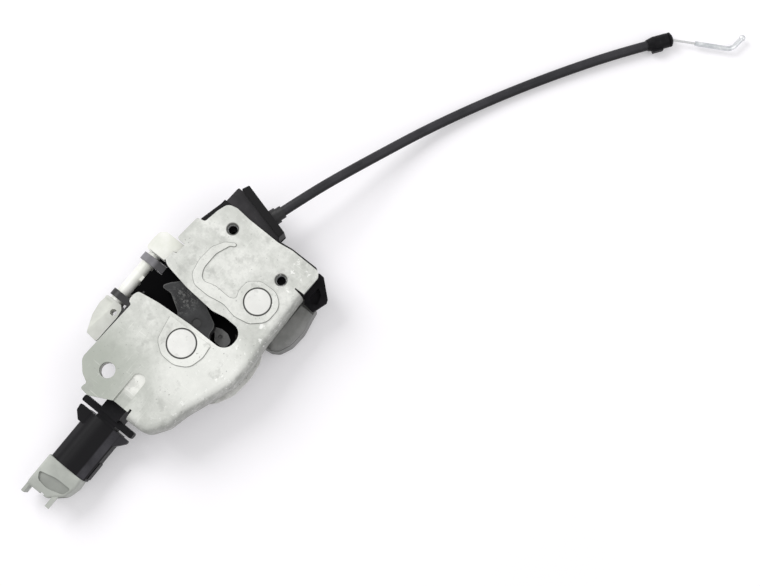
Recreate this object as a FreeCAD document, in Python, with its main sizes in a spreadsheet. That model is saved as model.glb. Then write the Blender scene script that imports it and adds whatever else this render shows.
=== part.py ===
import FreeCAD
import Part
import Sketcher
import math
import os
from FreeCAD import Vector

# Tailgate latch, millimetres. The latch lies on its back: the steel cover plate
# faces +Z and the release cable leaves towards +Y.
# Outlines are written from the slot's end, where the striker pin stops.

os.makedirs("parts", exist_ok=True)
doc = FreeCAD.newDocument("tailgate_latch")

sheet = doc.addObject("Spreadsheet::Sheet", "dims")
row_count = 0


def size(alias, value, note):
    """One driving size: a plain number with a word alias."""
    global row_count
    row_count += 1
    sheet.set("A%d" % row_count, note)
    sheet.set("B%d" % row_count, str(value))
    sheet.setAlias("B%d" % row_count, alias)


size("slot_x", 17.118, "slot end from the part's origin, across")
size("slot_y", 26.606, "slot end from the part's origin, along")
size("plate_top", 30, "outer face of the cover plate")
size("plate_gauge", 2, "steel of the cover plate")
size("rim_low", 17, "lower edge of the rolled rim")
size("rim_bend", 4, "bend radius of the rolled rim")
size("pad_rise", 0.5, "height of the pressed pads")
size("floor_z", 18, "floor of the claw's chamber")
size("base_z", 15, "underside of the plastic housing")
size("back_gauge", 2, "steel of the back plate")
size("claw_px", -13.1, "claw pivot from the slot end, across")
size("claw_py", -15.9, "claw pivot from the slot end, along")
size("claw_tip", 31, "claw's tip radius")
size("claw_heel", 25, "claw's heel radius")
size("claw_low", 20, "underside of the claw's steel")
size("claw_steel", 5, "thickness of the claw's steel")
size("coat_skin", 1, "plastic coat of the claw, each face")
size("claw_bore", 4.06, "bore radius of the claw")
size("claw_shaft", 4, "shaft radius of the claw rivet")
size("claw_gap", 0.4, "room around the claw's sweep")
size("pawl_px", 2.5, "pawl pivot from the slot end, across")
size("pawl_py", 22.2, "pawl pivot from the slot end, along")
size("pawl_low", 20.3, "underside of the pawl")
size("pawl_steel", 4.4, "thickness of the pawl")
size("pawl_bore", 3.56, "bore radius of the pawl")
size("pawl_shaft", 3.5, "shaft radius of the pawl rivet")
size("pawl_lift", 7.4, "pawl's swing from locked to free, degrees")
size("claw_head", 7.1, "head radius of the claw rivet")
size("pawl_head", 6.6, "head radius of the pawl rivet")
size("head_rise", 0.15, "a rivet head above its pad")
size("head_sink", 1, "depth of the ring that a rivet head sits in")
size("head_gap", 0.35, "gap round a rivet head")
size("thread_radius", 2.5, "core radius of the threaded holes")
size("nut_radius", 4.6, "radius of the pressed-in nuts")
size("nut_depth", 3, "length of the nuts under the plate")
size("bush_bore", 3.9, "bore radius of the mounting bush")
size("bush_outer", 5.6, "outer radius of the mounting bush")
size("bush_long", 4, "length of the mounting bush under the plate")
size("wall_step", 24, "step behind the cable wall")
size("wall_top", 27, "top of the cable wall's bar")
size("cable_z", 19.5, "height of the release cable at the wall")
size("sheath_radius", 2.5, "radius of the cable's sheath")
size("wire_radius", 0.6, "radius of the cable's inner wire")
size("wire_room", 0.4, "room around the wire in its bores")
size("ferrule_radius", 3.75, "radius of the ferrule")
size("pin_radius", 1.8, "radius of the pawl's cable pin")
size("rod_radius", 3.8, "radius of the lock rod")
size("rod_room", 0.06, "running room around the lock rod")
size("rod_x", -55.2, "lock rod from the slot end, across")
size("rod_z", 11, "height of the lock rod")
size("plug_x", -20.7, "connector's middle from the slot end")
size("plug_half", 10.5, "half width of the connector's sleeve")
size("plug_low", 4, "underside of the connector")
size("plug_high", 18, "top of the connector's sleeve")
size("shell_wall", 1.6, "wall of the connector's shell")
doc.recompute()


def val(alias):
    return float(sheet.get(alias))


EX = val("slot_x")
EY = val("slot_y")
PIVOT = (val("claw_px"), val("claw_py"))
PAWL = (val("pawl_px"), val("pawl_py"))


def at_slot(x, y, z=0.0):
    """A point written from the slot's end, in the part's own frame."""
    return Vector(x + EX, y + EY, z)


def polar(radius, degrees, centre=PIVOT):
    turn = math.radians(degrees)
    return (centre[0] + radius * math.cos(turn), centre[1] + radius * math.sin(turn))


def turned(point, degrees, centre=PAWL):
    """A corner turned about a pivot; its radius stays."""
    turn = math.radians(degrees)
    dx = point[0] - centre[0]
    dy = point[1] - centre[1]
    x = centre[0] + dx * math.cos(turn) - dy * math.sin(turn)
    y = centre[1] + dx * math.sin(turn) + dy * math.cos(turn)
    return (x, y) + tuple(point[2:])


def outline(corners):
    """Lines and tangent arcs of a closed outline; a corner is (x, y) or (x, y, radius)."""
    spots = [at_slot(c[0], c[1]) for c in corners]
    count = len(spots)
    cuts = []
    for i in range(count):
        here = spots[i]
        back = spots[i - 1] - here
        ahead = spots[(i + 1) % count] - here
        radius = corners[i][2] if len(corners[i]) > 2 else 0
        if radius <= 0:
            cuts.append((here, None, here))
            continue
        half = back.getAngle(ahead) / 2
        if half > 1.565:
            cuts.append((here, None, here))
            continue
        reach = min(radius / math.tan(half), 0.48 * back.Length, 0.48 * ahead.Length)
        radius = reach * math.tan(half)
        u = Vector(back).normalize()
        v = Vector(ahead).normalize()
        middle = here + (u + v).normalize() * (radius / math.sin(half))
        bulge = middle + (here - middle).normalize() * radius
        cuts.append((here + u * reach, bulge, here + v * reach))
    shapes = []
    for i in range(count):
        first, bulge, last = cuts[i]
        if bulge is not None:
            shapes.append(Part.Arc(first, bulge, last))
        start = last
        end = cuts[(i + 1) % count][0]
        if (end - start).Length > 1e-4:
            shapes.append(Part.LineSegment(start, end))
    return shapes


def new_body(name):
    return doc.addObject("PartDesign::Body", name)


def origin_plane(body, role):
    for feature in body.Origin.OriginFeatures:
        if feature.Role == role:
            return feature


def flat_sketch(body, name, height, role="XY_Plane"):
    """A sketch on one of the body's own planes, lifted by an expression."""
    sketch = body.newObject("Sketcher::SketchObject", name)
    sketch.AttachmentSupport = [(origin_plane(body, role), "")]
    sketch.MapMode = "FlatFace"
    sketch.setExpression("AttachmentOffset.Base.z", height)
    return sketch


def ring(sketch, x, y, radius):
    """A circle held by its centre and a radius from the sheet."""
    spot = at_slot(x, y)
    index = sketch.addGeometry(Part.Circle(spot, Vector(0, 0, 1), 3), False)
    sketch.addConstraint(Sketcher.Constraint("DistanceX", -1, 1, index, 3, spot.x))
    sketch.addConstraint(Sketcher.Constraint("DistanceY", -1, 1, index, 3, spot.y))
    which = sketch.addConstraint(Sketcher.Constraint("Radius", index, 3))
    sketch.setExpression("Constraints[%d]" % which, radius)


def raise_pad(body, name, corners, low, tall, rings=()):
    """A pad upwards from height low."""
    sketch = flat_sketch(body, name + "_sketch", low)
    if corners:
        sketch.addGeometry(outline(corners), False)
    for x, y, radius in rings:
        ring(sketch, x, y, radius)
    pad = body.newObject("PartDesign::Pad", name)
    pad.Profile = sketch
    pad.setExpression("Length", tall)
    return pad


def sink(body, name, corners, high, deep, rings=()):
    """A pocket downwards from height high."""
    sketch = flat_sketch(body, name + "_sketch", high)
    if corners:
        sketch.addGeometry(outline(corners), False)
    for x, y, radius in rings:
        ring(sketch, x, y, radius)
    pocket = body.newObject("PartDesign::Pocket", name)
    pocket.Profile = sketch
    pocket.setExpression("Length", deep)
    return pocket


def spin(body, name, points, x, y):
    """A turned form: points are (radius, height) about the upright line at x, y."""
    sketch = flat_sketch(body, name + "_sketch", "0", "XZ_Plane")
    spot = at_slot(x, y)
    sketch.setExpression("AttachmentOffset.Base.z", "%.4f" % -spot.y)
    loop = [Vector(spot.x + r, h, 0) for r, h in points]
    lines = [Part.LineSegment(a, b) for a, b in zip(loop, loop[1:] + loop[:1])]
    sketch.addGeometry(lines, False)
    axis = sketch.addGeometry(Part.LineSegment(Vector(spot.x, 0, 0), Vector(spot.x, 5, 0)), True)
    turn = body.newObject("PartDesign::Revolution", name)
    turn.Profile = sketch
    turn.ReferenceAxis = (sketch, ["Axis0"])
    turn.Angle = 360
    return turn


def soften(body, name, base, radius, picked, kind="Fillet"):
    """A fillet or chamfer on the base's edges that the test picks."""
    doc.recompute()
    names = []
    for i, edge in enumerate(base.Shape.Edges):
        if picked(edge):
            names.append("Edge%d" % (i + 1))
    feature = body.newObject("PartDesign::" + kind, name)
    feature.Base = (base, names)
    feature.setExpression("Radius" if kind == "Fillet" else "Size", radius)
    return feature


def edge_at(height, test=None):
    """Picks edges that lie flat at a height, and pass a test on their middle."""
    def picked(edge):
        box = edge.BoundBox
        if abs(box.ZMin - height) > 0.01 or abs(box.ZMax - height) > 0.01:
            return False
        if test is None:
            return True
        return test(box.Center.x - EX, box.Center.y - EY)
    return picked


def prim(kind, name, spot, **sizes):
    """A Part primitive with its sizes and its place given as expressions."""
    thing = doc.addObject("Part::" + kind, name)
    for key, text in sizes.items():
        thing.setExpression(key, str(text))
    for axis, text in zip("xyz", spot):
        thing.setExpression("Placement.Base." + axis, str(text))
    return thing


def cut(name, base, tool):
    less = doc.addObject("Part::Cut", name)
    less.Base = base
    less.Tool = tool
    return less


def common(name, base, tool):
    shared = doc.addObject("Part::Common", name)
    shared.Base = base
    shared.Tool = tool
    return shared


def prism(name, corners, low, tall):
    """An outline raised by Part: low and tall are plain heights read from the sheet."""
    wire = Part.Wire([c.toShape() for c in outline(corners)])
    face = Part.Face(wire)
    face.translate(Vector(0, 0, low))
    thing = doc.addObject("Part::Feature", name)
    thing.Shape = face.extrude(Vector(0, 0, tall))
    return thing


def keep(name, shape):
    thing = doc.addObject("Part::Feature", name)
    thing.Shape = shape
    return thing


parts = {}


def finish(node, thing):
    thing.Label = node
    parts[node] = thing


H_UPPER = (-29.7, 42.4)
H_RIGHT = (4.5, 37.5)
H_BUSH = (-32.6, -47.6)

# The cover plate's edge: lower lip of the slot, its round end, the upper lip, then round the plate.
SLOT_EDGE = [(-44.3, -16.4, 1), (-46.2, -15.8, 1.5), (-46.6, -12.4, 2), (-45.6, -9.4, 2),
             (-34.6, -7.6, 20), (-16, -6.3, 20), (6.2, -6.2, 6.1), (6.2, 6.6, 6.1),
             (-5, 6.8, 3), (-11.9, 5.4, 4), (-28.9, 6.6, 20), (-43.1, 9, 6), (-45.8, 11, 1)]
TOP_EDGE = [(-45.2, 15.8, 0.8), (-43.2, 16.4, 1), (-42.8, 22.2, 1), (-48, 22.4, 1), (-46.8, 36.2, 1.5),
            (-42.6, 37, 1.5), (-41.2, 45, 6), (-39.3, 50.6, 4), (-34.4, 51.8, 4), (-26.6, 51.1, 10),
            (-8.1, 50.9, 8), (-0.4, 52.1, 10), (15.8, 52, 2.2), (17.7, 49.5, 2), (17.4, 39),
            (12.3, 38.8), (12.3, 38.2)]
RIM_EDGE = [(17.3, 37.6), (17.8, 24.5, 30), (18, 9, 20), (19.4, -6, 16), (18.6, -17, 10), (12.6, -33.1, 20),
            (9.6, -41, 12), (7.4, -50.5, 8), (1, -60, 7), (-11, -60.2)]
LOW_EDGE = [(-11, -55), (-12.2, -55), (-12.2, -56.9), (-21, -56.9, 1), (-32.4, -62.6, 1.2),
            (-37.4, -62, 1.2), (-36.4, -58.4, 1), (-41, -56, 4), (-46, -50.5, 5), (-45.5, -40.7, 20)]
edge_loop = SLOT_EDGE + TOP_EDGE + RIM_EDGE + LOW_EDGE

plate = new_body("cover_plate_body")
slab = raise_pad(plate, "plate_block", edge_loop, "dims.rim_low", "dims.plate_top - dims.rim_low")


def on_rim(x, y):
    return (x > 16.2 and y < 37) or (x > 6 and y < -30) or (x > -10.5 and y < -50.5)


rolled = soften(plate, "rolled_rim", slab, "dims.rim_bend", edge_at(val("plate_top"), on_rim))

# Everything under the sheet goes, except the rolled rim on the right and below.
HOLLOW = [(-60, -70), (-60, 60), (30, 60), (30, 38), (15.3, 38), (15.8, 24.5, 30), (16, 9, 20),
          (17.3, -6, 14), (16.5, -16.6, 8), (10.7, -32.5, 18), (7.7, -40.5, 10), (5.6, -49.6, 6),
          (-0.4, -57.9, 5), (-11.05, -58.1), (-11.05, -70)]
sink(plate, "under_hollow", HOLLOW, "dims.plate_top - dims.plate_gauge",
     "dims.plate_top - dims.plate_gauge - dims.rim_low + 1")
PAD_UPPER = [(-23.6, 38.3, 1.2), (-28.6, 35.2, 4), (-32, 29.5, 6), (-32.8, 21, 8), (-31.2, 13.2, 5),
             (-26.6, 9.7, 5), (-18, 9.6, 8), (-9.6, 11.2, 12), (-2, 9.6, 8), (6, 11.2, 6), (12.4, 17, 7),
             (12.8, 27, 7), (6.5, 31.6, 7), (-2.5, 31.2, 6), (-7.8, 27, 4), (-8.3, 21, 5), (-6.6, 17, 2.5),
             (-9.6, 15.6, 3), (-18.5, 15.9, 10), (-25.4, 13.6, 5), (-28.2, 19, 7), (-28, 28, 8),
             (-25.2, 35, 2), (-22.6, 36.4, 1)]
PAD_CLAW = [(-26.2, -8.6, 1), (-25, -15, 8), (-23.6, -21.6, 6), (-17.4, -26.2, 7), (-9.6, -26.4, 8),
            (-2.6, -22.6, 7), (-0.6, -14.8, 8), (-1.4, -8, 1)]
raise_pad(plate, "pawl_pad", PAD_UPPER, "dims.plate_top", "dims.pad_rise")
pad_two = raise_pad(plate, "claw_pad", PAD_CLAW, "dims.plate_top", "dims.pad_rise")
pads = soften(plate, "pad_edges", pad_two, "dims.pad_rise * 0.6",
              edge_at(val("plate_top") + val("pad_rise")))
GROOVE = [(-21.2, -58), (-21.2, -39, 3.3), (-14.5, -39, 3.3), (-14.5, -58)]
sink(plate, "pressed_groove", GROOVE, "dims.plate_top", "0.7")
bores = sink(plate, "plate_holes", None, "dims.plate_top + dims.pad_rise",
             "dims.plate_gauge + dims.pad_rise",
             [H_UPPER + ("dims.thread_radius",), H_RIGHT + ("dims.thread_radius",),
              H_BUSH + ("dims.bush_bore",), PIVOT + ("dims.claw_shaft",), PAWL + ("dims.pawl_shaft",)])
head_rings = sink(plate, "head_rings", None, "dims.plate_top + dims.pad_rise", "dims.head_sink",
                  [PIVOT + ("dims.claw_head + dims.head_gap",), PAWL + ("dims.pawl_head + dims.head_gap",)])


def thread_mouth(edge):
    """The upper rim of a threaded hole: a whole circle on the plate's face or on a pad."""
    box = edge.BoundBox
    if len(edge.Vertexes) != 1 or box.ZLength > 0.01 or box.ZMin < val("plate_top") - 0.01:
        return False
    x = box.Center.x - EX
    y = box.Center.y - EY
    return any(math.hypot(x - spot[0], y - spot[1]) < 0.1 for spot in (H_UPPER, H_RIGHT))


soften(plate, "countersinks", head_rings, "0.9", thread_mouth, "Chamfer")
finish("cover_plate", plate)

# The plastic housing: a tray under the cover plate with the cable wall at its upper end.
TRAY = [(-44, -14.5, 1.5), (-45.9, -17, 1.5), (-45.9, -36, 2), (-38.5, -41.6, 3), (-26.6, -41.6, 2),
        (-25.4, -57, 1.5), (-12, -57, 2), (-0.8, -57, 5), (4.9, -49.2, 6), (7.1, -40.2, 10),
        (10.2, -32.2, 18), (16, -16.4, 8), (16.8, -6, 14), (15.5, 9, 20), (14.9, 24.5, 30),
        (14.9, 38.9, 0.4), (16.3, 39.2, 0.4), (16.3, 51, 2.5), (14, 53, 2), (-1, 53, 3), (-8.6, 52, 2),
        (-9.9, 53.2, 0.5), (-9.4, 57, 0.6), (-37.9, 64.7, 0.6), (-39.7, 60.8, 0.3), (-41.9, 60.9, 0.9),
        (-42.6, 49, 4), (-45.4, 37.5, 1), (-46.6, 22.7, 1.5),
        (-42.6, 22.5), (-42.8, 16.6, 0.5), (-45.2, 15.8, 0.5), (-45.2, 9.6, 1)]
housing = new_body("housing_body")
top_of_tray = "dims.plate_top - dims.plate_gauge"
tray = raise_pad(housing, "tray_block", TRAY, "dims.base_z", top_of_tray + " - dims.base_z")
room_depth = "dims.plate_top - dims.plate_gauge - dims.floor_z"
reach = val("claw_tip") + val("claw_gap")
heel = val("claw_heel") + val("claw_gap") + 0.3


def sweep_room(body, name):
    """The chamber that the claw sweeps: wide where its tip goes, narrower at its heel."""
    sketch = flat_sketch(body, name + "_sketch", top_of_tray)
    start = 112
    end = 232
    marks = [at_slot(*polar(reach, start)), at_slot(*polar(reach, (start + end) / 2)),
             at_slot(*polar(reach, end)), at_slot(*polar(heel, end + 4)),
             at_slot(*polar(heel, 350)), at_slot(*polar(heel, start - 4))]
    sketch.addGeometry([Part.Arc(marks[0], marks[1], marks[2]),
                        Part.LineSegment(marks[2], marks[3]),
                        Part.Arc(marks[3], marks[4], marks[5]),
                        Part.LineSegment(marks[5], marks[0])], False)
    pocket = body.newObject("PartDesign::Pocket", name)
    pocket.Profile = sketch
    pocket.setExpression("Length", room_depth)
    return pocket


chamber = sweep_room(housing, "claw_chamber")
MOUTH = [(-60, -8.6), (-36, -7.2), (-30, 6), (-36, 7.8), (-60, 11.8)]
mouth = sink(housing, "slot_mouth", MOUTH, top_of_tray, room_depth)
PAWL_ROOM = [(13, 12, 3), (13, 27, 4), (8, 31.9, 2), (-3, 31.9, 2), (-20, 31.9, 3), (-21.5, 40.6, 1.5),
             (-33, 40.6, 3), (-37.6, 32, 4), (-40.6, 12, 3), (-36, 4), (-10, 2), (8, 4)]
sink(housing, "pawl_chamber", PAWL_ROOM, top_of_tray, room_depth)
# A slot for the wire runs from the pawl's chamber through the cable wall.
ALONG = (0.30184, 0.95336)
ACROSS = (0.95336, -0.30184)
PIN_AT = (-27.7, 36)


def beside(step, side):
    """A point along the wire's line from the pawl's pin, and off to its right."""
    return (PIN_AT[0] + ALONG[0] * step + ACROSS[0] * side, PIN_AT[1] + ALONG[1] * step + ACROSS[1] * side)


sink(housing, "wire_way", [beside(2, -2.5), beside(2, 2.5), beside(15, 2.5), beside(15, -2.5)],
     top_of_tray, "dims.plate_top - dims.plate_gauge - dims.cable_z + 2.1")
# The nipple's eye moves up to 1.2 mm towards the wall, so its room reaches past it.
EYE_RADIUS = 4.2
eye_side = EYE_RADIUS + 0.6
eye_reach = EYE_RADIUS + 1.7
NIPPLE_ROOM = [beside(-1, -eye_side), beside(-1, eye_side), beside(eye_reach, eye_side),
               beside(eye_reach, -eye_side)]
sink(housing, "nipple_room", NIPPLE_ROOM, top_of_tray, room_depth)
LEDGE = [(-60, 51.6), (-60, 80), (-9.9, 80), (-9.9, 51.6)]
sink(housing, "wall_ledge", LEDGE, top_of_tray, "dims.plate_top - dims.plate_gauge - dims.wall_step")
WALL_BAR = [(-39.6, 60.9, 0.4), (-37.9, 64.6, 0.6), (-9.5, 57, 0.6), (-10.4, 53.6, 0.6)]
bar = raise_pad(housing, "wall_bar", WALL_BAR, "dims.wall_step", "dims.wall_top - dims.wall_step")
SHELF = [(-44, -12.6), (-50.7, -12.6, 0.6), (-50.7, -6.8), (-50.1, -6.8), (-50.1, -5.6), (-50.7, -5.6),
         (-50.7, 2.2), (-49.9, 2.2), (-49.9, 4.3), (-44, 4.3)]
raise_pad(housing, "mouth_shelf", SHELF, "dims.base_z", "dims.floor_z - dims.base_z")
LIP = [(-44, 8.85), (-50.6, 8.85), (-50.6, 10), (-44, 10)]
raise_pad(housing, "mouth_lip", LIP, "dims.base_z", "dims.floor_z - dims.base_z")
sink(housing, "housing_holes", None, top_of_tray, "dims.plate_top",
     [PIVOT + ("dims.claw_shaft",), PAWL + ("dims.pawl_shaft",)])
sink(housing, "nut_room", None, top_of_tray, "dims.nut_depth + 5",
     [H_UPPER + ("dims.nut_radius",), H_RIGHT + ("dims.nut_radius",)])
BUFFER_SEAT = [(-9.3, 0.2, 0.4), (-6.3, -2, 1.5), (-3.7, -5.2, 1), (2.3, -5.4, 3), (3.4, -0.2, 2.5),
               (-1, 2.2, 2), (-4.6, 2.2, 0.8)]
seat = sink(housing, "buffer_seat", BUFFER_SEAT, "dims.floor_z", "1.8")
sink(housing, "spring_seats", None, "dims.floor_z", "2",
     [PIVOT + ("10.4",), PAWL + ("8.2",)])
CLIP = [(13.4, 39.3), (17.7, 38.5, 0.3), (18.6, 36.7, 0.4), (24.6, 36.1, 1), (27, 43.8, 1.2),
        (26.2, 45.6, 1.5), (18, 52.8, 1), (15, 53, 1), (13, 50)]
raise_pad(housing, "corner_clip", CLIP, "dims.base_z", "dims.floor_z - dims.base_z")
CLIP_HOLE = [(18.6, 41, 0.5), (21.8, 38.6, 0.5), (24.2, 40.2, 0.5), (22.6, 45, 0.5), (19.4, 47.2, 0.5)]
sink(housing, "clip_window", CLIP_HOLE, "dims.floor_z", "2.4")
# The wire's tunnel goes level through the cable wall.
tunnel_mouth = beside(13, 0)
tunnel = prim("Cylinder", "wire_tunnel", ("dims.slot_x + %.4f" % tunnel_mouth[0],
                                          "dims.slot_y + %.4f" % tunnel_mouth[1], "dims.cable_z"),
              Radius="dims.wire_radius + 1.8", Height="16")
tunnel.Placement.Rotation = FreeCAD.Rotation(Vector(0, 0, 1), Vector(ALONG[0], ALONG[1], 0))
bored = cut("bored_housing", housing, tunnel)

# The moulding comes in three pieces: a floor, and a frame round each of the two chambers.
floor_slab = prim("Box", "floor_slab", ("-90", "-150", "dims.base_z - 1"), Length="180", Width="300",
                  Height="dims.floor_z - dims.base_z + 1")
upper_half = prim("Box", "upper_half", ("-90", "dims.slot_y - 1", "dims.base_z - 1"),
                  Length="180", Width="150", Height="dims.plate_top")
finish("housing", common("housing", bored, floor_slab))
frames = cut("frames", bored, floor_slab)
finish("pawl_frame", common("pawl_frame", frames, upper_half))
finish("claw_frame", cut("claw_frame", frames, upper_half))

back = new_body("back_plate_body")
BACK = [(-43.4, -15, 2), (-43.4, -34.6, 3), (-37.6, -40.4, 3), (-27.4, -40.4, 2), (-25.4, -54, 2),
        (-1.6, -54, 5), (4.5, -46, 6), (9.2, -34.4, 8), (16.2, -27, 4), (20.2, -19, 7), (21.2, -8, 10),
        (20, 0.6, 7),
        (17.4, 5.6, 3), (15.7, 9.6, 3), (14.6, 24.5, 20), (14.4, 38, 2), (12.6, 48.6, 3), (-12, 49.2, 2),
        (-38, 49.6, 3), (-41.4, 38, 4), (-42.4, 24, 4), (-41.4, 15, 3), (-41.4, -4, 4)]
raise_pad(back, "back_sheet", BACK, "dims.base_z - dims.back_gauge", "dims.back_gauge")
back_holes = sink(back, "back_holes", None, "dims.base_z", "dims.back_gauge",
                  [PIVOT + ("dims.claw_shaft",), PAWL + ("dims.pawl_shaft",)])
finish("back_plate", back)

# The rear cover holds the drive; it is one closed block behind the back plate.
REAR = [(-41.8, -16, 3), (-41.8, -32.6, 3), (-36, -38.4, 3), (-27.2, -38.4, 2), (-25.2, -53, 2),
        (-14, -54.6, 3), (-2, -52.6, 6), (8, -32, 12), (14, -14, 8), (14.4, 20, 8),
        (13.4, 40, 4), (8, 47, 6), (-14, 48, 3), (-36.4, 48, 4),
        (-40.6, 38, 4), (-41, 12, 4)]
rear = new_body("rear_cover_body")
rear_block = raise_pad(rear, "rear_block", REAR, "0", "dims.base_z - dims.back_gauge")
rear_round = soften(rear, "rear_round", rear_block, "2.5", edge_at(0))
RIB_GAP = [(-34, -8, 2), (-34, 8, 2), (-22, 8, 2), (-22, -8, 2)]
for step in range(3):
    shift = step * 15.5
    gap = [(x + shift, y, r) for x, y, r in RIB_GAP]
    sketch = flat_sketch(rear, "rib_gap_%d_sketch" % step, "0")
    sketch.addGeometry(outline(gap), False)
    pocket = rear.newObject("PartDesign::Pocket", "rib_gap_%d" % step)
    pocket.Profile = sketch
    pocket.Reversed = True
    pocket.setExpression("Length", "3")
finish("rear_cover", rear)

SCREWS = [(-34, 40), (7, 40), (-36, -24), (6, -24), (-12, -46)]
screw_seats = flat_sketch(rear, "screw_seat_sketch", "0")
for x, y in SCREWS:
    ring(screw_seats, x, y, "3.6")
seats = rear.newObject("PartDesign::Pocket", "screw_seats")
seats.Profile = screw_seats
seats.Reversed = True
seats.setExpression("Length", "2.4")

ACTUATOR = [(14.8, 8, 1.5), (19.9, 8.6, 2), (23.4, 10.8, 4), (26.2, 17, 8), (26.8, 26, 8), (25, 35, 5),
            (24.4, 39, 2), (14.2, 41, 1)]
drive = new_body("actuator_cover_body")
drive_block = raise_pad(drive, "drive_block", ACTUATOR, "1.5", "dims.base_z - 3.6")
CHEEK = [(17.9, 9.6), (20.2, 9.2, 2), (23.2, 11.4, 4), (25.9, 17, 8), (26.5, 26, 8), (25.1, 35.2),
         (17.9, 35.2)]
cheek = raise_pad(drive, "drive_cheek", CHEEK, "dims.base_z - 2.1", "3.6")


def cheek_edge(x, y):
    return x > 18.5 and y < 34.9


drive_round = soften(drive, "drive_round", cheek, "3.2", edge_at(val("base_z") + 1.5, cheek_edge))
finish("actuator_cover", drive)

# Rivets turned from one profile each: shaft, shoulder under the plate and low domed head.
low_end = val("base_z") - val("back_gauge") + 0.1


def rivet(node, spot, shaft, head, steel_top, shoulder):
    under = val("plate_top") - val("plate_gauge")
    face = val("plate_top") + val("pad_rise")
    seat = face - val("head_sink")
    crown = face + val("head_rise")
    points = [(0, low_end), (shaft, low_end), (shaft, steel_top + 0.1), (shoulder, steel_top + 0.1),
              (shoulder, under), (shaft, under), (shaft, seat), (head, seat), (head, face - 0.15),
              (head - 0.35, crown), (0, crown)]
    body = new_body(node + "_body")
    spin(body, node + "_turned", points, *spot)
    finish(node, body)


claw_top = val("claw_low") + val("claw_steel")
pawl_top = val("pawl_low") + val("pawl_steel")
rivet("claw_rivet", PIVOT, val("claw_shaft"), val("claw_head"), claw_top, 7)
rivet("pawl_rivet", PAWL, val("pawl_shaft"), val("pawl_head"), pawl_top, 6.2)


def nut(node, spot):
    """A round weld nut under the plate, with its threaded core."""
    bottom = "dims.plate_top - dims.plate_gauge - dims.nut_depth"
    where = ("dims.slot_x + %s" % spot[0], "dims.slot_y + %s" % spot[1], bottom)
    outer = prim("Cylinder", node + "_outer", where, Radius="dims.nut_radius - 0.1",
                 Height="dims.nut_depth")
    core = prim("Cylinder", node + "_core", where, Radius="dims.thread_radius", Height="dims.nut_depth")
    finish(node, cut(node, outer, core))


nut("nut_upper", H_UPPER)
nut("nut_right", H_RIGHT)
bush_spot = ("dims.slot_x + %s" % H_BUSH[0], "dims.slot_y + %s" % H_BUSH[1],
             "dims.plate_top - dims.plate_gauge - dims.bush_long")
bush_outer = prim("Cylinder", "bush_outside", bush_spot, Radius="dims.bush_outer", Height="dims.bush_long")
bush_inner = prim("Cylinder", "bush_inside", bush_spot, Radius="dims.bush_bore", Height="dims.bush_long")
finish("mount_bush", cut("mount_bush", bush_outer, bush_inner))

BUFFER = [(-8.9, 0.2, 0.3), (-6, -1.8, 1.5), (-3.6, -5, 1), (2.1, -5.2, 3), (3.2, -0.2, 2.5),
          (-1, 2, 2), (-4.6, 2, 0.8)]
buffer = new_body("striker_buffer_body")
buffer_pad = raise_pad(buffer, "buffer_pad", BUFFER, "dims.floor_z - 1.8", "2.5")
buffer_hole = sink(buffer, "buffer_hole", None, "dims.floor_z + 0.7", "1.6", [(-2.7, -1.5, "1.1")])
finish("striker_buffer", buffer)

# The claw, shut: hook finger to the left, heel to the right, the striker's pocket between them.
tip = val("claw_tip")
heel_r = val("claw_heel")


def claw_corners(grow, notch):
    """The claw's outline; grow moves its free edges outwards, notch leaves the pawl's notch open."""
    corners = [polar(tip + grow, 150.5) + (1.2,), (-33.8, -0.2 - grow, 3), (-24.6, -5.6, 4),
               (-23.4 - grow, -12, 5), (-24 - grow, -20, 7), (-17, -27.4 - grow, 7), (-8, -27 - grow, 7),
               (-1, -21.5 - grow, 6), polar(heel_r + grow, 1) + (2.5,),
               polar(heel_r + grow + 0.6, 20) + (12,), polar(heel_r + grow, 41.5) + (0.8,), (6.1, -6, 6),
               (-6.2, -6.4, 6), (-6.6, 0.8, 4)]
    corners.append(polar(tip - 1 + grow, 117.5) + (1.5,))
    if notch:
        corners.append(polar(tip, 123.6) + (0.6,))
        corners.append(polar(26.4, 123.6) + (0.4,))
        corners.append(polar(26.4, 134.4) + (0.4,))
        corners.append(polar(tip, 134.4) + (0.6,))
    else:
        corners.append(polar(tip + 0.4, 127) + (12,))
    corners.append(polar(tip + 0.3, 141) + (12,))
    return corners


claw = new_body("claw_body")
claw_pad = raise_pad(claw, "claw_sheet", claw_corners(-0.8, True), "dims.claw_low", "dims.claw_steel")
sink(claw, "claw_bore", None, "dims.claw_low + dims.claw_steel", "dims.claw_steel",
     [PIVOT + ("dims.claw_bore",)])
finish("claw", claw)

# The claw's plastic coat wraps the steel from below and leaves the notch open for the pawl.
coat = new_body("claw_coat_body")
coat_block = raise_pad(coat, "coat_block", claw_corners(0, False), "dims.claw_low - dims.coat_skin",
                       "dims.claw_steel + dims.coat_skin")
NOTCH = [polar(tip + 3, 122.9), polar(25.8, 122.9), polar(25.8, 135.1), polar(tip + 3, 135.1)]
coat_notch = sink(coat, "coat_notch", NOTCH, "dims.claw_low + dims.claw_steel",
                  "dims.claw_steel + dims.coat_skin")
sink(coat, "coat_bore", None, "dims.claw_low + dims.claw_steel", "dims.plate_top",
     [PIVOT + ("7.6",)])

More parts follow.
